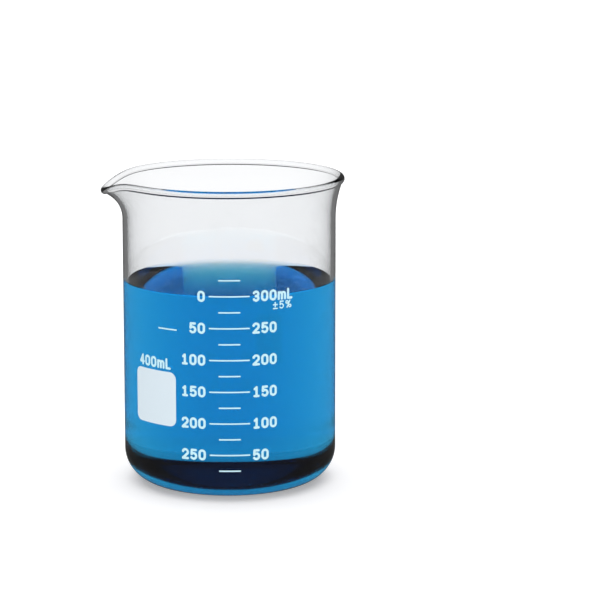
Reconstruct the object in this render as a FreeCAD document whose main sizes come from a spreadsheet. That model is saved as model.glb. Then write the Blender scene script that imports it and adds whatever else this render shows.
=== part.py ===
"""A 400 mL low-form laboratory beaker with a pouring spout, an enamel scale and its blue solution.

Frame: millimetres, +Z up. The origin is on the vessel's axis, in the plane the base stands on.
The scale faces -Y and the spout points to -X.
"""
import FreeCAD, Part

import math
import os

from FreeCAD import Placement, Rotation, Vector

doc = FreeCAD.newDocument("beaker")

# ---------------------------------------------------------------------------------------------
# Driving sizes, in millimetres and degrees
# ---------------------------------------------------------------------------------------------

SIZES = {
    # glass vessel
    "outer_diameter": 77.0,
    "overall_height": 111.9,
    "wall_thickness": 1.6,
    "base_thickness": 2.6,
    "base_corner_radius": 12.0,
    # rim: the wall leans outwards over flare_height and ends in a fire-polished bead
    "flare_height": 14.3,
    "bead_radius": 1.3,
    "rim_overhang": 3.2,
    # spout: the rim is drawn out and down at -X, in a bell shape this many degrees wide
    "spout_reach": 4.5,
    "spout_droop": 4.1,
    "spout_spread": 18.0,
    # enamel scale on the front
    "enamel_thickness": 0.05,
    "first_line_height": 11.75,
    "line_pitch": 5.71,
    "line_stroke": 0.5,
    "long_line_length": 14.4,
    "short_line_length": 7.7,
    # lettering
    "digit_height": 4.0,
    "pen_width": 0.86,
    "letter_gap": 0.42,
    "left_number_gap": 1.35,
    "right_number_gap": 0.9,
    "tolerance_digit_height": 2.85,
    "tolerance_pen_width": 0.46,
    "tolerance_letter_gap": 0.6,
    "tolerance_indent": 7.6,
    "tolerance_drop": 0.3,
    # marking spot to the left of the scale, with the capacity over it
    "spot_azimuth": -44.2,
    "spot_width": 19.5,
    "spot_height": 19.6,
    "spot_corner_radius": 2.5,
    "spot_base_height": 26.7,
    "label_gap": 0.9,
    # short register dash between them and the rim
    "dash_azimuth": -34.6,
    "dash_length": 7.9,
    "dash_height": 61.8,
}

LINE_VOLUME = 25      # mL between two graduations
LINE_COUNT = 13       # 25 mL to 325 mL
FILL_VOLUME = 300     # mL of solution, and the zero of the left column of numbers

RIM_SHARE = 1.12      # height of the lofted rim, down to its seam, as a share of flare_height

sheet = doc.addObject("Spreadsheet::Sheet", "size")
for row, (name, number) in enumerate(SIZES.items(), start=1):
    sheet.set(f"A{row}", name)
    sheet.set(f"B{row}", str(number))
    sheet.setAlias(f"B{row}", name)
doc.recompute()


def size(name):
    """The number that the sheet holds under this alias."""
    return float(sheet.get(name))


# Expressions that several pieces share
OUTER_R = "size.outer_diameter / 2"
INNER_R = "(size.outer_diameter / 2 - size.wall_thickness)"
ENAMEL_R = "(size.outer_diameter / 2 + size.enamel_thickness)"
HEEL_R = "size.base_corner_radius"
INNER_HEEL_R = "(size.base_corner_radius - size.wall_thickness)"
RIM_SEAM = f"(size.overall_height - size.bead_radius - {RIM_SHARE} * size.flare_height)"

outer_radius = size("outer_diameter") / 2


def line_height(volume):
    """Expression for the height of the graduation for this many mL."""
    return f"(size.first_line_height + {volume / LINE_VOLUME - 1:g} * size.line_pitch)"


# ---------------------------------------------------------------------------------------------
# Helpers
# ---------------------------------------------------------------------------------------------

nodes = []      # the sub-parts, in the order they are made


def keep(piece, label):
    """Name a finished piece and put it on the list of sub-parts."""
    piece.Label = label
    nodes.append(piece)
    return piece


def turn_to(piece, azimuth, height):
    """Bind a piece that was built at azimuth 0 to an azimuth in degrees and a height."""
    piece.Placement = Placement(Vector(0, 0, 0), Rotation(Vector(0, 0, 1), 0))
    piece.setExpression(".Placement.Rotation.Angle", azimuth)
    piece.setExpression(".Placement.Base.z", height)


def feature(name, shape):
    """A document object for a shape made with Part's own functions."""
    piece = doc.addObject("Part::Feature", name)
    piece.Shape = shape
    return piece


def cylinder(name, radius, height, angle="360"):
    """A cylinder on +Z, or a sector of one that starts at +X, with its sizes bound."""
    piece = doc.addObject("Part::Cylinder", name)
    piece.setExpression("Radius", radius)
    piece.setExpression("Height", height)
    piece.setExpression("Angle", angle)
    return piece


def boolean(kind, name, base, tool):
    """A Part::Cut, Part::Fuse or Part::Common of two objects."""
    piece = doc.addObject(kind, name)
    piece.Base = base
    piece.Tool = tool
    return piece


def heeled_body(name, radius, foot, top, heel):
    """A body turned on +Z from the height foot to top, with its lower edge rounded."""
    body = doc.addObject("PartDesign::Body", name)
    drum = body.newObject("PartDesign::AdditiveCylinder", f"{name}_drum")
    drum.setExpression("Radius", radius)
    drum.setExpression("Height", f"{top} - {foot}")
    drum.setExpression(".Placement.Base.z", foot)
    doc.recompute()
    bottom = drum.Placement.Base.z
    lower_edge = next(f"Edge{i}" for i, e in enumerate(drum.Shape.Edges, start=1)
                      if e.isClosed() and abs(e.BoundBox.ZMax - bottom) < 1e-6)
    rounded = body.newObject("PartDesign::Fillet", f"{name}_heel")
    rounded.Base = (drum, [lower_edge])
    rounded.setExpression("Radius", heel)
    return body


# ---------------------------------------------------------------------------------------------
# Glass vessel: one piece of glass. The base and the straight wall are turned shapes. The rim
# with its spout is a loft through closed curves that run around the axis.
# ---------------------------------------------------------------------------------------------

AROUND = 72              # points in each curve around the axis
UPRIGHT_STATIONS = 2     # curves on each face where the wall is still upright
LEANING_STATIONS = 7     # curves on each face of the leaning wall
BEAD_STATIONS = 11       # curves over the bead
BEAD_BLEND = 0.5         # length of wall left to the blend between each face and the bead
BEAD_BLEND_ANGLE = math.radians(16)


def make_vessel_bottom():
    """Base, rounded heel and straight wall, up to the seam with the rim."""
    blank = heeled_body("blank", OUTER_R, "0", RIM_SEAM, HEEL_R)
    cavity = heeled_body("cavity", INNER_R, "size.base_thickness", RIM_SEAM, INNER_HEEL_R)
    return boolean("Part::Cut", "vessel_bottom", blank, cavity)


def make_rim():
    """The leaning wall, the bead and the spout, down to the seam with the straight wall."""
    half_wall = size("wall_thickness") / 2
    bead = size("bead_radius")
    flare = size("flare_height")
    middle_r = outer_radius - half_wall
    lean_start = size("overall_height") - bead - flare
    seam = size("overall_height") - bead - RIM_SHARE * flare

    # The middle of the wall leans along one arc, from upright into the centre of the bead.
    out = outer_radius + size("rim_overhang") - bead - middle_r
    arc_radius = (out ** 2 + flare ** 2) / (2 * out)
    lean_end = math.asin(flare / arc_radius)
    hidden = math.asin(half_wall / bead)
    lean_stop = lean_end - (bead * math.cos(hidden) + BEAD_BLEND) / arc_radius

    def middle(lean, pull):
        """Point and unit direction of the wall's middle, as (radius, height), at this lean."""
        share = (arc_radius * math.sin(lean) / flare) ** 2
        growth = 2 * (arc_radius / flare) ** 2 * math.sin(lean) * math.cos(lean)
        reach, droop = pull * size("spout_reach"), pull * size("spout_droop")
        point = (middle_r + arc_radius * (1 - math.cos(lean)) + reach * share,
                 lean_start + arc_radius * math.sin(lean) - droop * share)
        run = arc_radius * math.sin(lean) + reach * growth
        rise = arc_radius * math.cos(lean) - droop * growth
        return point, (run / math.hypot(run, rise), rise / math.hypot(run, rise))

    def wall_point(lean, side):
        def at(pull):
            (r, z), (run, rise) = middle(lean, pull)
            return r + side * half_wall * rise, z - side * half_wall * run
        return at

    def upright_point(z, side):
        return lambda pull: (middle_r + side * half_wall, z)

    def bead_point(share):
        def at(pull):
            (r, z), (run, rise) = middle(lean_end, pull)
            start = math.atan2(-rise, -run) + hidden + BEAD_BLEND_ANGLE
            turn = start + share * (2 * math.pi - 2 * hidden - 2 * BEAD_BLEND_ANGLE)
            return r + bead * math.cos(turn), z + bead * math.sin(turn)
        return at

    def face(side):
        upright = [upright_point(seam + (lean_start - seam) * i / UPRIGHT_STATIONS, side)
                   for i in range(UPRIGHT_STATIONS)]
        leaning = [wall_point(lean_stop * i / (LEANING_STATIONS - 1), side)
                   for i in range(LEANING_STATIONS)]
        return upright + leaning

    def around(station):
        """A closed curve through one station of the rim, all the way around the axis."""
        points = []
        for i in range(AROUND):
            azimuth = 2 * math.pi * i / AROUND
            from_spout = math.degrees(azimuth) - 180
            r, z = station(math.exp(-(from_spout / size("spout_spread")) ** 2))
            points.append(Vector(r * math.cos(azimuth), r * math.sin(azimuth), z))
        curve = Part.BSplineCurve()
        curve.interpolate(Points=points, PeriodicFlag=True)
        return Part.Wire(curve.toShape())

    over_bead = [bead_point(i / (BEAD_STATIONS - 1)) for i in range(BEAD_STATIONS)]
    stations = face(1) + over_bead + face(-1)[::-1]
    skin = Part.makeLoft([around(station) for station in stations], False)
    ends = [Part.Wire(e) for e in skin.Edges
            if e.isClosed() and abs(e.BoundBox.ZMax - seam) < 1e-4]
    ring = Part.makeFace(ends, "Part::FaceMakerBullseye")
    shell = Part.Shell(skin.Faces + [ring])
    shell.sewShape()
    return Part.makeSolid(shell)


rim = feature("rim", make_rim())
keep(boolean("Part::Fuse", "vessel", make_vessel_bottom(), rim), "glass_vessel")

# ---------------------------------------------------------------------------------------------
# Blue solution: fills the vessel from its inner base to the 300 mL graduation
# ---------------------------------------------------------------------------------------------

keep(heeled_body("solution", INNER_R, "size.base_thickness", line_height(FILL_VOLUME),
                 INNER_HEEL_R), "blue_solution")

# ---------------------------------------------------------------------------------------------
# Enamel graduations: thin bands that lie on the outer wall, each one a sector of a ring
# ---------------------------------------------------------------------------------------------


def make_line(name, length, azimuth, height):
    """A horizontal line of enamel, centred on this azimuth and height."""
    degrees = f"({length} / {ENAMEL_R} * 180 / pi)"
    band = cylinder(f"{name}_band", ENAMEL_R, "size.line_stroke", degrees)
    glass = cylinder(f"{name}_glass", OUTER_R, "size.line_stroke")
    line = boolean("Part::Cut", name, band, glass)
    turn_to(line, f"{azimuth} - 90 - {degrees} / 2", f"{height} - size.line_stroke / 2")
    return keep(line, name)


for count in range(1, LINE_COUNT + 1):
    volume = count * LINE_VOLUME
    length = "size.short_line_length" if count % 2 else "size.long_line_length"
    make_line(f"graduation_{volume:03d}", length, "0", line_height(volume))

make_line("register_dash", "size.dash_length", "size.dash_azimuth", "size.dash_height")

# ---------------------------------------------------------------------------------------------
# Enamel lettering. Each character is drawn with a round pen, as straight and round strokes of
# its centre line, and pressed onto the wall. The drawing's unit makes a digit 4 units tall from
# the pen's centre at the foot to its centre at the head.
# ---------------------------------------------------------------------------------------------

BOWL = 1.2      # radius of the round strokes of a digit

# ("line", x, y, x, y) or ("arc", centre x, centre y, radius, first angle, last angle)
STROKES = {
    "0": [("arc", 0, 4 - BOWL, BOWL, 0, 180), ("line", -BOWL, 4 - BOWL, -BOWL, BOWL),
          ("arc", 0, BOWL, BOWL, 180, 360), ("line", BOWL, BOWL, BOWL, 4 - BOWL)],
    "1": [("line", -0.7, 3.2, 0.1, 4), ("line", 0.1, 4, 0.1, 0), ("line", -0.8, 0, 1, 0)],
    "2": [("arc", 0, 4 - BOWL, BOWL, -40, 165), ("line", 0.92, 2.03, -BOWL, 0),
          ("line", -BOWL, 0, BOWL, 0)],
    "3": [("arc", 0, 2.95, 1.05, -90, 155), ("line", 0, 1.9, 0, 2.1),
          ("arc", 0, 1.05, 1.05, -155, 90)],
    "4": [("line", 0.6, 4, -1.2, 1.1), ("line", -1.2, 1.1, BOWL, 1.1), ("line", 0.6, 4, 0.6, 0)],
    "5": [("line", 1, 4, -0.9, 4), ("line", -0.9, 4, -1, 2.1),
          ("arc", -0.05, 1.25, 1.25, -145, 140)],
    "m": [("line", -1.6, 0, -1.6, 2.9), ("arc", -0.8, 2.05, 0.8, 0, 180), ("line", 0, 2.05, 0, 0),
          ("arc", 0.8, 2.05, 0.8, 0, 180), ("line", 1.6, 2.05, 1.6, 0)],
    "L": [("line", -0.9, 4, -0.9, 0), ("line", -0.9, 0, 0.9, 0)],
    "+-": [("line", 0, 1, 0, 3.6), ("line", -BOWL, 2.3, BOWL, 2.3), ("line", -BOWL, 0, BOWL, 0)],
    "%": [("arc", -1, 3.15, 0.75, 0, 360), ("line", -1, 0, 1, 4), ("arc", 1, 0.85, 0.75, 0, 360)],
}
HALF_WIDTHS = {"m": 1.6, "L": 0.9, "%": 1.75}       # from the middle to the pen's outermost centre


def pen_stroke(stroke, unit, pen, depth):
    """One stroke as a solid of this depth on the XY plane, with round ends."""
    kind, *numbers = stroke
    if kind == "line":
        start, end = (Vector(*numbers[i:i + 2], 0) * unit for i in (0, 2))
        along = end - start
        slab = Part.makeBox(along.Length, pen, depth, Vector(0, -pen / 2, 0))
        heading = math.degrees(math.atan2(along.y, along.x))
        slab.Placement = Placement(start, Rotation(Vector(0, 0, 1), heading))
        parts, tips = [slab], [start, end]
    else:
        x, y, radius, first, last = numbers
        centre, radius = Vector(x, y, 0) * unit, radius * unit
        sweep = last - first
        ring = Part.makeCylinder(radius + pen / 2, depth, Vector(), Vector(0, 0, 1), sweep)
        ring = ring.cut(Part.makeCylinder(radius - pen / 2, depth))
        ring.Placement = Placement(centre, Rotation(Vector(0, 0, 1), first))
        tips = [centre + Vector(math.cos(a), math.sin(a), 0) * radius
                for a in (math.radians(first), math.radians(last))]
        parts = [ring]
    return parts + [Part.makeCylinder(pen / 2, depth, tip) for tip in tips]


def make_character(character, height, pen):
    """(solid, width) of a character pressed onto the wall at azimuth 0, standing on z = 0."""
    unit = (height - pen) / 4
    depth = outer_radius + 1
    parts = [p for stroke in STROKES[character] for p in pen_stroke(stroke, unit, pen, depth)]
    flat = parts[0].multiFuse(parts[1:])
    flat.translate(Vector(0, pen / 2, 0))
    flat.rotate(Vector(), Vector(1, 0, 0), 90)
    enamel = Part.makeCylinder(outer_radius + size("enamel_thickness"), height)
    enamel = enamel.cut(Part.makeCylinder(outer_radius, height))
    width = 2 * HALF_WIDTHS.get(character, BOWL) * unit + pen
    return enamel.common(flat).removeSplitter(), width


def make_lettering(name, characters, height, pen, gap, anchor, align):
    """A row of characters along the wall, as separate solids of one piece.

    anchor is an arc length from azimuth 0, and align is the share of the row to the left of it.
    """
    drawn = [make_character(c, height, pen) for c in characters]
    length = sum(width for _, width in drawn) + gap * (len(drawn) - 1)
    place = anchor - align * length
    solids = []
    for solid, width in drawn:
        solid = solid.copy()
        solid.rotate(Vector(), Vector(0, 0, 1), math.degrees((place + width / 2) / outer_radius))
        solids.append(solid)
        place += width + gap
    return feature(name, Part.makeCompound(solids))


def make_number(name, characters, line_volume, anchor, align):
    """A row of full-size characters, centred on the height of a graduation."""
    row = make_lettering(name, characters, size("digit_height"), size("pen_width"),
                         size("letter_gap"), anchor, align)
    turn_to(row, "0", f"{line_height(line_volume)} - size.digit_height / 2")
    return keep(row, name)


right_column = size("long_line_length") / 2 + size("right_number_gap")
left_column = -size("long_line_length") / 2 - size("left_number_gap")
for volume in range(2 * LINE_VOLUME, FILL_VOLUME + 1, 2 * LINE_VOLUME):
    contents = list(str(volume)) + (["m", "L"] if volume == FILL_VOLUME else [])
    make_number(f"contents_{volume:03d}", contents, volume, right_column, 0)
    poured = FILL_VOLUME - volume
    make_number(f"poured_{poured:03d}", str(poured), volume, left_column, 1)

tolerance = make_lettering("tolerance", ["+-", "5", "%"], size("tolerance_digit_height"),
                           size("tolerance_pen_width"), size("tolerance_letter_gap"),
                           right_column + size("tolerance_indent"), 0)
turn_to(tolerance, "0", f"{line_height(FILL_VOLUME)} - size.digit_height / 2"
        " - size.tolerance_drop - size.tolerance_digit_height")
keep(tolerance, "tolerance_mark")

# ---------------------------------------------------------------------------------------------
# Marking spot: a matt enamel panel to write on, with the vessel's capacity over it
# ---------------------------------------------------------------------------------------------

panel = doc.addObject("Part::Box", "panel")
panel.setExpression("Length", "size.spot_width")
panel.setExpression("Width", ENAMEL_R)
panel.setExpression("Height", "size.spot_height")
panel.setExpression(".Placement.Base.x", "-size.spot_width / 2")
panel.setExpression(".Placement.Base.y", f"-{ENAMEL_R}")
doc.recompute()

rounded_panel = doc.addObject("Part::Fillet", "rounded_panel")
rounded_panel.Base = panel
corner = size("spot_corner_radius")
rounded_panel.Edges = [(i, corner, corner) for i, e in enumerate(panel.Shape.Edges, start=1)
                       if e.BoundBox.YLength > outer_radius]

coat = boolean("Part::Cut", "coat", cylinder("coat_outside", ENAMEL_R, "size.spot_height"),
               cylinder("coat_inside", OUTER_R, "size.spot_height"))
spot = boolean("Part::Common", "spot", coat, rounded_panel)
turn_to(spot, "size.spot_azimuth", "size.spot_base_height")
keep(spot, "marking_spot")

label = make_lettering("label", "400mL", size("digit_height"), size("pen_width"),
                       size("letter_gap"), 0, 0.5)
turn_to(label, "size.spot_azimuth", "size.spot_base_height + size.spot_height + size.label_gap")
keep(label, "capacity_label")

# ---------------------------------------------------------------------------------------------
# Check every object, then write one file for each sub-part
# ---------------------------------------------------------------------------------------------

doc.recompute()
for item in doc.Objects:
    if "Invalid" in item.State or "Error" in item.State:
        raise RuntimeError(f"{item.Name} did not build: {item.State}")

os.makedirs("parts", exist_ok=True)
for node in nodes:
    if node.Shape.isNull() or not node.Shape.isValid() or not node.Shape.Solids:
        raise RuntimeError(f"{node.Label} has no valid solid")
    node.Shape.exportStep(f"parts/{node.Label}.step")
    print(f"{node.Label}: {len(node.Shape.Solids)} solid(s), {node.Shape.Volume:.2f} mm3")
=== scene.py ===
# %% [markdown]
# # A 400 mL laboratory beaker with blue solution
#
# The object is one blown and fire-polished piece of borosilicate glass, the solution in it, and a
# white enamel scale fired onto its outside. This lesson loads the engineering model as a fixed
# frame, makes the glass and the solution again as smooth shells, gives every piece its finish, and
# lights the whole on a pale floor. Lengths are in metres, +Z is up, the scale faces -Y and the
# spout points to -X.

# %% Load the frame
import math

import bmesh
import bpy
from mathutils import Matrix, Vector


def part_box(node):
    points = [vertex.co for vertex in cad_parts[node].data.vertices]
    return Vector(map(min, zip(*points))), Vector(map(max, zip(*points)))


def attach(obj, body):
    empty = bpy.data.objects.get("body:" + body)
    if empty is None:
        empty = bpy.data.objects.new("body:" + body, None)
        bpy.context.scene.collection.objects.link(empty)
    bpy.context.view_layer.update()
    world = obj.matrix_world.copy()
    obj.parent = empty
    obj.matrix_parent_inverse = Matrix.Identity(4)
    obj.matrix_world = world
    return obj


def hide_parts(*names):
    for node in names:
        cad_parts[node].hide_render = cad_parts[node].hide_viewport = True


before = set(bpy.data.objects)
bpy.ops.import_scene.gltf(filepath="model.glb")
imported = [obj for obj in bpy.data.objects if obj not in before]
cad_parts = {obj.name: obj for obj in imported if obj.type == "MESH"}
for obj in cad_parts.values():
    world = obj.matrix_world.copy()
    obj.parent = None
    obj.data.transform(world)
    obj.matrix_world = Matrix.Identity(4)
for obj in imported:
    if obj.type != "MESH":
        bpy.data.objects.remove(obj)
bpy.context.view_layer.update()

MM = 0.001
print("nodes in the frame:", len(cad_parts))

# %% [markdown]
# ## Sizes
#
# The frame gives the sizes that matter. The solution fills the inner wall up to its graduation, and
# the vessel's box gives its height and how far the bead stands out. What a box can't say, such as
# the thickness of the wall or the roundness of the heel, is named here once.

# %% Sizes read from the frame, and the few that a box can't give
glass_low, glass_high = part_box("glass_vessel")
liquid_low, liquid_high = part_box("blue_solution")

HEIGHT = glass_high.z
RIM_R = glass_high.x                     # outside of the bead, away from the spout
INNER_R = liquid_high.x
BASE = liquid_low.z                      # thickness of the glass under the solution
FILL = liquid_high.z                     # the 300 mL graduation
WALL = 1.6 * MM
OUTER_R = INNER_R + WALL
HEEL_R = 12.0 * MM                       # outside; inside it is less by the wall
BEAD_R = 1.3 * MM
FLARE = 14.3 * MM                        # height over which the wall leans out to the bead
SPOUT_REACH = 4.5 * MM
SPOUT_DROOP = 4.1 * MM
SPOUT_SPREAD = math.radians(18)

AROUND = 288                             # steps of every turned shape
FLAT_STEPS = 6                           # steps along a flat stretch of an outline
WALL_STEPS = 8
BEND_STEPS = 24                          # steps round the heel and along the flare
INNER_BEND_STEPS = 20
BEAD_STEPS = 40
print(f"outer radius {OUTER_R / MM:.2f} mm, height {HEIGHT / MM:.2f} mm, fill {FILL / MM:.2f} mm")

# %% [markdown]
# ## The outline of the glass
#
# A beaker is round everywhere but at the spout, so its glass is one outline turned about the axis.
# The outline could be typed in as a list of points, but an arc is easier to trust when it is drawn
# as an arc. So one vertex is walked along: extruded for a straight stretch, and spun for an arc.

# %% A pen that walks a vertex along an outline in the XZ plane
class Outline:
    """A chain of edges in the XZ plane that grows from its last vertex."""

    def __init__(self, x, z):
        self.bm = bmesh.new()
        self.tip = self.bm.verts.new((x, 0, z))

    def line(self, x, z, steps=1):
        """A straight stretch to (x, z), in this many steps."""
        step = (Vector((x, 0, z)) - self.tip.co) / steps
        for _ in range(steps):
            made = bmesh.ops.extrude_vert_indiv(self.bm, verts=[self.tip])
            self.tip = made["verts"][0]
            self.tip.co += step
        return self

    def arc(self, x, z, degrees, steps):
        """An arc about (x, z), counter-clockwise seen from -Y where degrees is positive."""
        made = bmesh.ops.spin(self.bm, geom=[self.tip], cent=(x, 0, z), axis=(0, -1, 0),
                              angle=math.radians(degrees), steps=steps, use_duplicate=False)
        self.tip = next(g for g in made["geom_last"] if isinstance(g, bmesh.types.BMVert))
        return self


SHARP = math.radians(40)                 # edges that turn by more stay crisp in smooth shading


def turn(outline, name):
    """The outline turned a full circle about +Z, as an object with smooth faces."""
    bm = outline.bm
    bmesh.ops.spin(bm, geom=bm.verts[:] + bm.edges[:], cent=(0, 0, 0), axis=(0, 0, 1),
                   angle=math.tau, steps=AROUND, use_merge=True, use_duplicate=False)
    bmesh.ops.remove_doubles(bm, verts=bm.verts[:], dist=1e-6)
    bmesh.ops.recalc_face_normals(bm, faces=bm.faces[:])
    for face in bm.faces:
        face.smooth = True
    for edge in bm.edges:
        edge.smooth = edge.calc_face_angle(0) < SHARP
    mesh = bpy.data.meshes.new(name)
    bm.to_mesh(mesh)
    bm.free()
    piece = bpy.data.objects.new(name, mesh)
    bpy.context.scene.collection.objects.link(piece)
    return piece


test = Outline(0, 0).line(1, 0, 2)
print("a test outline has", len(test.bm.edges), "edges")
test.bm.free()

# %% The vessel's outline: base, heel, wall, flare, bead, and back down inside
middle_r = OUTER_R - WALL / 2
bead_r = RIM_R - BEAD_R
bead_z = HEIGHT - BEAD_R
lean_start = bead_z - FLARE
out = bead_r - middle_r
lean_radius = (out ** 2 + FLARE ** 2) / (2 * out)      # arc of the wall's middle in the flare
lean_end = math.asin(FLARE / lean_radius)
lean_x = middle_r + lean_radius
hidden = math.asin(WALL / 2 / BEAD_R)                  # half of the bead's arc inside the wall
lean_stop = lean_end - BEAD_R * math.cos(hidden) / lean_radius

inner_heel = HEEL_R - WALL
pen = Outline(0, 0)
pen.line(OUTER_R - HEEL_R, 0, FLAT_STEPS)
pen.arc(OUTER_R - HEEL_R, HEEL_R, 90, BEND_STEPS)
pen.line(OUTER_R, lean_start, WALL_STEPS)
pen.arc(lean_x, lean_start, -math.degrees(lean_stop), BEND_STEPS)
print("outline of the outside ends at", [round(c / MM, 3) for c in pen.tip.co])
pen.arc(bead_r, bead_z, 360 - 2 * math.degrees(hidden), BEAD_STEPS)
pen.arc(lean_x, lean_start, math.degrees(lean_stop), BEND_STEPS)
pen.line(INNER_R, BASE + inner_heel, WALL_STEPS)
pen.arc(INNER_R - inner_heel, BASE + inner_heel, -90, INNER_BEND_STEPS)
pen.line(0, BASE, FLAT_STEPS)
print(len(pen.bm.verts), "points; the last is at", [round(c / MM, 3) for c in pen.tip.co])

# %% [markdown]
# ## The spout
#
# A real spout is drawn: the rim is heated again at one place and pulled out and down with a rod.
# The wall there bends over while it keeps its thickness, and the bead rides along unchanged. So a
# point of the round rim is described by where it sits along the leaning wall and how far it stands
# off the wall's middle, and then set back on the bent wall with those same two numbers. A plain
# pull on the vertices would be simpler, but it would squeeze the bead and thin the lip.

# %% Bend the rim into a spout at -X
def wall_middle(lean, pull):
    """Point and upward direction of the wall's middle in the (radius, height) plane."""
    share = (lean_radius * math.sin(lean) / FLARE) ** 2
    growth = 2 * (lean_radius / FLARE) ** 2 * math.sin(lean) * math.cos(lean)
    point = Vector((middle_r + lean_radius * (1 - math.cos(lean)) + pull * SPOUT_REACH * share,
                    lean_start + lean_radius * math.sin(lean) - pull * SPOUT_DROOP * share))
    along = Vector((lean_radius * math.sin(lean) + pull * SPOUT_REACH * growth,
                    lean_radius * math.cos(lean) - pull * SPOUT_DROOP * growth)).normalized()
    return point, along


def reseat(point, lean, pull):
    """Where a (radius, height) point goes when the wall's frame at this lean is pulled."""
    old, old_along = wall_middle(lean, 0)
    new, new_along = wall_middle(lean, pull)
    off = point - old
    off_along = off.dot(old_along)
    off_out = off.dot(Vector((old_along.y, -old_along.x)))
    return new + new_along * off_along + Vector((new_along.y, -new_along.x)) * off_out


def draw_spout(piece):
    """Move the vertices of a round rim to where the drawn spout has them."""
    bead_centre = Vector((bead_r, bead_z))
    for vertex in piece.data.vertices:
        x, y, z = vertex.co
        if z <= lean_start:
            continue
        point = Vector((math.hypot(x, y), z))
        from_spout = math.atan2(y, -x)
        pull = math.exp(-(from_spout / SPOUT_SPREAD) ** 2)
        lean = math.atan2(z - lean_start, lean_x - point.x)
        bent = reseat(point, min(lean, lean_end), pull)
        rigid = reseat(point, lean_end, pull)
        away = (point - bead_centre).length / BEAD_R
        share = min(max(2 - away, 0), 1)
        seat = bent.lerp(rigid, share * share * (3 - 2 * share))
        vertex.co = Vector((x / point.x * seat.x, y / point.x * seat.x, seat.y))


vessel = turn(pen, "vessel_glass")
draw_spout(vessel)
vessel_low = Vector(min(v.co[i] for v in vessel.data.vertices) for i in range(3))
print(len(vessel.data.polygons), "faces; lowest corner", [round(c / MM, 2) for c in vessel_low])

# %% [markdown]
# ## The solution
#
# A liquid wets glass, so its surface climbs the wall in a narrow meniscus. Light has to go from
# glass straight into liquid with no air between them. Two surfaces in exactly the same place leave
# that to rounding errors, so the solution's side lies a few hundredths of a millimetre inside the
# glass instead. One closed shell carries both the surface and the colour within.

# %% Turn the solution, with its meniscus
OVERLAP = 0.06 * MM
MENISCUS_RISE = 1.0 * MM                 # the rim of the surface stands this much over its middle
MENISCUS_REACH = 1.5 * MM                # distance in which the climb falls to a third
MENISCUS_STEPS = 16
MENISCUS_END = 5 * MENISCUS_REACH        # from here on the surface is as good as level
CROWDING = 1.6                           # over 1, the steps crowd towards the wall
LEVEL = FILL - MENISCUS_RISE

wet_r = INNER_R + OVERLAP
pen = Outline(0, BASE - OVERLAP)
pen.line(INNER_R - inner_heel, BASE - OVERLAP, FLAT_STEPS)
pen.arc(INNER_R - inner_heel, BASE + inner_heel, 90, INNER_BEND_STEPS)
pen.line(wet_r, FILL, WALL_STEPS)
for i in range(1, MENISCUS_STEPS + 1):
    inwards = MENISCUS_END * (i / MENISCUS_STEPS) ** CROWDING
    pen.line(wet_r - inwards, LEVEL + MENISCUS_RISE * math.exp(-inwards / MENISCUS_REACH))
pen.line(0, LEVEL, FLAT_STEPS)
solution = turn(pen, "solution")
print("the solution has", len(solution.data.polygons), "faces")

# %% [markdown]
# ## Colours and nodes
#
# A colour picked from a screen is an sRGB value, while a shader counts in linear light, so one
# function turns the hex value round. Another adds a node with its settings and links, which keeps
# each material readable as a list of what it is made of.

# %% Helpers for every material
def linear(hex_value):
    """An opaque linear colour from an sRGB hex value such as "E6EBEE"."""
    channels = [int(hex_value[i:i + 2], 16) / 255 for i in (0, 2, 4)]
    return [c / 12.92 if c <= 0.04045 else ((c + 0.055) / 1.055) ** 2.4 for c in channels] + [1.0]


def add(tree, kind, links=None, inputs=None, **settings):
    """A node of this kind with its settings, its unlinked inputs, and links from other sockets."""
    node = tree.nodes.new(kind)
    for name, value in settings.items():
        setattr(node, name, value)
    for name, value in (inputs or {}).items():
        node.inputs[name].default_value = value
    for name, socket in (links or {}).items():
        tree.links.new(socket, node.inputs[name])
    return node


def new_material(name):
    """An empty node material, its node tree and its output node."""
    material = bpy.data.materials.new(name)
    material.use_nodes = True
    tree = material.node_tree
    tree.nodes.clear()
    return material, tree, add(tree, "ShaderNodeOutputMaterial")


print("mid grey 808080 is", round(linear("808080")[0], 3), "in linear light")

# %% [markdown]
# ## Borosilicate glass, blown and fire polished
#
# Borosilicate has an index of refraction of 1.473 and next to no colour. Blowing leaves its wall a
# little wavy, over stretches of about a centimetre, and fire polishing makes its skin quite smooth.
# The waviness is what bends highlights on real glass, so it is in the bump and not left out.

# %% Glass material
WAVE_LENGTH = 12 * MM                    # from one wave of the blown wall to the next
WAVE_DEPTH = 0.1 * MM


def borosilicate_glass():
    """Clear glass with the slight waves of a blown wall."""
    material, tree, output = new_material("Borosilicate glass, blown and fire polished")
    place = add(tree, "ShaderNodeTexCoord").outputs["Object"]
    waves = add(tree, "ShaderNodeTexNoise", {"Vector": place},
                {"Scale": 1 / WAVE_LENGTH, "Detail": 1.0, "Roughness": 0.4})
    bump = add(tree, "ShaderNodeBump", {"Height": waves.outputs["Fac"]},
               {"Strength": 0.25, "Distance": WAVE_DEPTH})
    shader = add(tree, "ShaderNodeBsdfPrincipled", {"Normal": bump.outputs["Normal"]},
                 {"Base Color": linear("F2F3F4"), "Roughness": 0.0, "IOR": 1.473,
                  "Transmission Weight": 1.0})
    tree.links.new(shader.outputs["BSDF"], output.inputs["Surface"])
    return material


vessel.data.materials.append(borosilicate_glass())
print("the vessel is of", vessel.data.materials[0].name)

# %% [markdown]
# ## Blue solution
#
# A clear solution has no colour on its surface. Light loses its red and some of its green on the
# way through, so the colour is an absorption that grows with depth: pale near the edge of the
# surface, full blue through the middle. A tinted skin would have the same blue at every depth. The
# index is that of water, 1.333. The mirror strength is set under its usual 0.5, because nearly all
# of the skin lies against glass, where light finds hardly a mirror.

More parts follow.
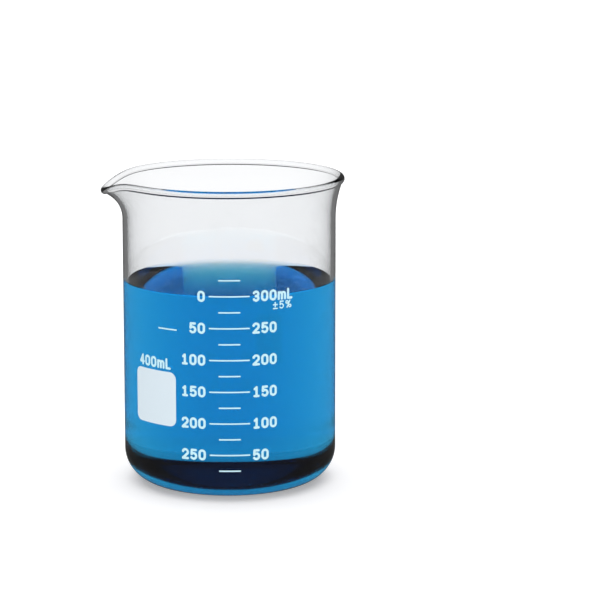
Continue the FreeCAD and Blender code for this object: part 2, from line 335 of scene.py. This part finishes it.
# %% Solution material
RED_LOSS = 75.0                          # absorption of red, per metre
SPARED = (0.0, 0.75, 0.911, 1.0)         # how much of that loss red, green and blue are spared


def blue_solution():
    """A liquid with the index of water that takes its colour from its depth."""
    material, tree, output = new_material("Copper salt solution, clear blue")
    surface = add(tree, "ShaderNodeBsdfPrincipled", None,
                  {"Base Color": linear("FFFFFF"), "Roughness": 0.0, "IOR": 1.333,
                   "Specular IOR Level": 0.2, "Transmission Weight": 1.0})
    depth = add(tree, "ShaderNodeVolumeAbsorption", None,
                {"Color": SPARED, "Density": RED_LOSS})
    tree.links.new(surface.outputs["BSDF"], output.inputs["Surface"])
    tree.links.new(depth.outputs["Volume"], output.inputs["Volume"])
    return material


solution.data.materials.append(blue_solution())
print("green loses", round(RED_LOSS * (1 - SPARED[1]), 1), "and blue",
      round(RED_LOSS * (1 - SPARED[2]), 1), "per metre")

# %% [markdown]
# ## Fired enamel
#
# The scale is screen printed with white enamel and fired on. Real enamel is a little translucent, so
# the blue behind it cools its white. Here it lets no light through, and that coolness is in its
# colour. Its clouds and its relief are drawn coarser than a real print's, so that they can be seen.
# Its surface is satin, and matt on the panel to write on.

# %% Enamel materials
THIN = 0.9                               # brightness where the print is thinnest
RELIEF = 0.01 * MM


def fired_enamel(name, colour, roughness, grain):
    """Enamel of this colour that clouds and swells a little from one grain to the next."""
    material, tree, output = new_material(name)
    place = add(tree, "ShaderNodeTexCoord").outputs["Object"]
    cloud = add(tree, "ShaderNodeTexNoise", {"Vector": place},
                {"Scale": 1 / grain, "Detail": 3.0, "Roughness": 0.6})
    tone = add(tree, "ShaderNodeMix", {"Factor": cloud.outputs["Fac"]}, data_type="RGBA")
    tone.inputs["A"].default_value = linear(colour)
    tone.inputs["B"].default_value = [c * THIN for c in linear(colour)[:3]] + [1.0]
    bump = add(tree, "ShaderNodeBump", {"Height": cloud.outputs["Fac"]},
               {"Strength": 0.3, "Distance": RELIEF})
    shader = add(tree, "ShaderNodeBsdfPrincipled",
                 {"Base Color": tone.outputs["Result"], "Normal": bump.outputs["Normal"]},
                 {"Roughness": roughness, "IOR": 1.5})
    tree.links.new(shader.outputs["BSDF"], output.inputs["Surface"])
    return material


scale_enamel = fired_enamel("White enamel, screen printed and fired", "CCF2FA", 0.4, 0.4 * MM)
spot_enamel = fired_enamel("Matt marking enamel, fired", "DCEAF2", 0.75, 0.3 * MM)
for name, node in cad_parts.items():
    if name in ("glass_vessel", "blue_solution"):
        continue
    node.data.materials.clear()
    node.data.materials.append(spot_enamel if name == "marking_spot" else scale_enamel)
print("enamel pieces:", len(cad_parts) - 2)

# %% [markdown]
# ## Place in the frame
#
# A new shell rides on the root body, as its engineering part does, hides that part, and prints which
# part it stands for. The enamel marks are the frame's own pieces, so they need nothing.

# %% Tie the new pieces to the frame
for piece, node, slot in ((vessel, "glass_vessel", "borosilicate_glass"),
                          (solution, "blue_solution", "blue_solution")):
    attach(piece, "root")
    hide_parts(node)
    print(piece.name, "stands for", node)

# %% [markdown]
# ## What light paths see of the studio
#
# A beaker of solution is a strong lens, so the studio around it paints it: the pale floor fills its
# body, and the dark room over the horizon draws the dark lines of the rim, the base and the surface.
# The solution's skin lies inside the glass, so Cycles finds one mirror more there than real glass
# against liquid has, and its grey reflections would wash out the deep blue. In a real studio, black
# flags around the camera take such reflections away. Here the floor and the sky are dimmed for a path
# that was mirrored at the front, and are brighter for a long chain of total reflections, most of
# which end under the beaker. Only the floor and the sky know of this. The object's materials don't.

# %% Dim the floor and the sky for mirrored light paths
# The level of a mirrored path, from so many refractions on. With none it is a mirror image on the
# outside. One to three is a turn inside the wall or at the solution's skin, four and five is the
# wall's inner face behind that skin, and more is a chain of reflections in the solution.
MIRRORED = ((0, 0.08), (1, 0.22), (4, 0.0), (6, 2.2))
DEEPEST = 12                             # refractions that Cycles follows


def path_level(tree):
    """The studio's brightness along a light path, and the outputs of its Light Path node."""
    path = add(tree, "ShaderNodeLightPath").outputs
    depth = add(tree, "ShaderNodeMath", {0: path["Transmission Depth"]}, {1: DEEPEST},
                operation="DIVIDE")
    steps = add(tree, "ShaderNodeValToRGB", {"Fac": depth.outputs[0]})
    steps.color_ramp.interpolation = "CONSTANT"
    steps.color_ramp.elements.remove(steps.color_ramp.elements[1])
    for refractions, level in MIRRORED:
        at = max(refractions - 0.5, 0) / DEEPEST
        stop = steps.color_ramp.elements.new(at) if at else steps.color_ramp.elements[0]
        stop.color = (level, level, level, 1)
    mirrored = add(tree, "ShaderNodeMath", {0: path["Glossy Depth"]}, {1: 0.5},
                   operation="GREATER_THAN")
    level = add(tree, "ShaderNodeMix", {"Factor": mirrored.outputs[0], "B": steps.outputs["Color"]},
                {"A": 1.0})
    return level.outputs["Result"], path


print("levels of mirrored paths:", MIRRORED)

# %% [markdown]
# ## Floor and sky
#
# A product shot stands on a wide pale sheet, so brightly lit that it comes out white and keeps a
# shadow only close to the object. Glass throws a hard black shadow in Cycles, and through the
# solution one would look straight into it. So the sheet is mostly lit by the lamps where it is seen
# directly, and mostly glows by itself where it is seen through the glass, as if lit from below. The
# sky is white along the horizon and dark over it, like a light wall under an unlit ceiling.

# %% Floor
FLOOR_SIZE = 12.0
FLOOR_DROP = 0.05 * MM                   # keeps the floor clear of the glass that stands on it
WHITE = (1, 1, 1, 1)
SEEN_DIRECTLY = {"white": "F0F0F0", "glow": 0.3}
SEEN_THROUGH_GLASS = {"white": "7C7C7C", "glow": 0.95}

bm = bmesh.new()
bmesh.ops.create_grid(bm, x_segments=1, y_segments=1, size=FLOOR_SIZE / 2)
bmesh.ops.translate(bm, verts=bm.verts[:], vec=(0, 0, -FLOOR_DROP))
floor_mesh = bpy.data.meshes.new("floor")
bm.to_mesh(floor_mesh)
bm.free()
floor = bpy.data.objects.new("floor", floor_mesh)
bpy.context.scene.collection.objects.link(floor)

material, tree, output = new_material("Pale matt floor")
level, path = path_level(tree)
white = add(tree, "ShaderNodeMix", {"Factor": path["Is Camera Ray"]}, data_type="RGBA")
white.inputs["A"].default_value = linear(SEEN_THROUGH_GLASS["white"])
white.inputs["B"].default_value = linear(SEEN_DIRECTLY["white"])
tone = add(tree, "ShaderNodeMix", {"Factor": level, "B": white.outputs["Result"]}, data_type="RGBA")
tone.inputs["A"].default_value = linear("000000")
matt = add(tree, "ShaderNodeBsdfDiffuse", {"Color": tone.outputs["Result"]})
share = add(tree, "ShaderNodeMix", {"Factor": path["Is Camera Ray"]},
            {"A": SEEN_THROUGH_GLASS["glow"], "B": SEEN_DIRECTLY["glow"]})
strength = add(tree, "ShaderNodeMath", {0: share.outputs["Result"], 1: level}, operation="MULTIPLY")
glow = add(tree, "ShaderNodeEmission", {"Strength": strength.outputs[0]}, {"Color": WHITE})
both = add(tree, "ShaderNodeAddShader", {0: matt.outputs[0], 1: glow.outputs[0]})
tree.links.new(both.outputs[0], output.inputs["Surface"])
floor_mesh.materials.append(material)
print("floor:", FLOOR_SIZE, "m across")

# %% Sky, light along the horizon and dark over it
LIGHT_BELOW = math.radians(14)
DARK_ABOVE = math.radians(19)
CEILING = (0.02, 0.022, 0.045, 1)        # an unlit ceiling, linear

world = bpy.data.worlds.new("studio")
bpy.context.scene.world = world
world.use_nodes = True
sky = world.node_tree
sky.nodes.clear()
ray = add(sky, "ShaderNodeTexCoord").outputs["Generated"]
upwards = add(sky, "ShaderNodeSeparateXYZ", {"Vector": ray})
fade = add(sky, "ShaderNodeValToRGB", {"Fac": upwards.outputs["Z"]})
fade.color_ramp.interpolation = "EASE"
fade.color_ramp.elements[0].position = math.sin(LIGHT_BELOW)
fade.color_ramp.elements[0].color = WHITE
fade.color_ramp.elements[1].position = math.sin(DARK_ABOVE)
fade.color_ramp.elements[1].color = CEILING
level, path = path_level(sky)
seen = add(sky, "ShaderNodeMix", {"Factor": path["Is Camera Ray"], "A": fade.outputs["Color"]},
           data_type="RGBA")
seen.inputs["B"].default_value = WHITE
glow = add(sky, "ShaderNodeBackground", {"Color": seen.outputs["Result"], "Strength": level})
add(sky, "ShaderNodeOutputWorld", {"Surface": glow.outputs["Background"]})
print("sky nodes:", len(sky.nodes))

# %% [markdown]
# ## Lamps
#
# Two large soft lamps do the rest. One hangs high over the beaker and gives the short shadow
# round its heel, and one stands in front and lights the enamel. A sun lamp with a wide angle gives
# the same light as a far softbox. Both are hidden from reflections, where they would draw discs.

# %% Two soft lamps
def soft_lamp(name, strength, spread, azimuth, elevation):
    """A far lamp this many degrees across, from an azimuth counted from -Y and an elevation."""
    data = bpy.data.lights.new(name, "SUN")
    data.energy = strength
    data.angle = math.radians(spread)
    lamp = bpy.data.objects.new(name, data)
    bpy.context.scene.collection.objects.link(lamp)
    lamp.rotation_euler = (math.radians(90 - elevation), 0, math.radians(azimuth))
    lamp.visible_glossy = False
    lamp.visible_transmission = False


soft_lamp("overhead_softbox", strength=3.0, spread=90, azimuth=180, elevation=80)
soft_lamp("front_softbox", strength=0.8, spread=60, azimuth=0, elevation=25)

# %% [markdown]
# ## Camera
#
# The camera stands about a metre away with a long lens and looks down by eleven degrees, which
# opens the rim and the surface of the solution to narrow ellipses. It is turned to its right rather
# than shifted, so that a camera moved round the beaker keeps the beaker in its middle. Plain sRGB
# keeps the white floor white.

# %% Camera
CAMERA_DISTANCE = 1.0
CAMERA_HEIGHT = 0.2621
LENS = 168.3
DOWN = math.radians(11.105)
TURN = math.radians(-0.2)                # the scale is seen from slightly to its right
AIM_RIGHT = math.radians(1.466)          # the beaker stands left of the picture's centre

bpy.context.scene.view_settings.view_transform = "Standard"
camera_data = bpy.data.cameras.new("camera")
camera_data.lens = LENS
camera = bpy.data.objects.new("camera", camera_data)
bpy.context.scene.collection.objects.link(camera)
bpy.context.scene.camera = camera
camera.location = Vector((-math.sin(TURN), -math.cos(TURN), 0)) * CAMERA_DISTANCE
camera.location.z = CAMERA_HEIGHT
camera.rotation_euler = (math.pi / 2 - DOWN, 0, -TURN - AIM_RIGHT)
print("camera at", [round(c, 3) for c in camera.location])
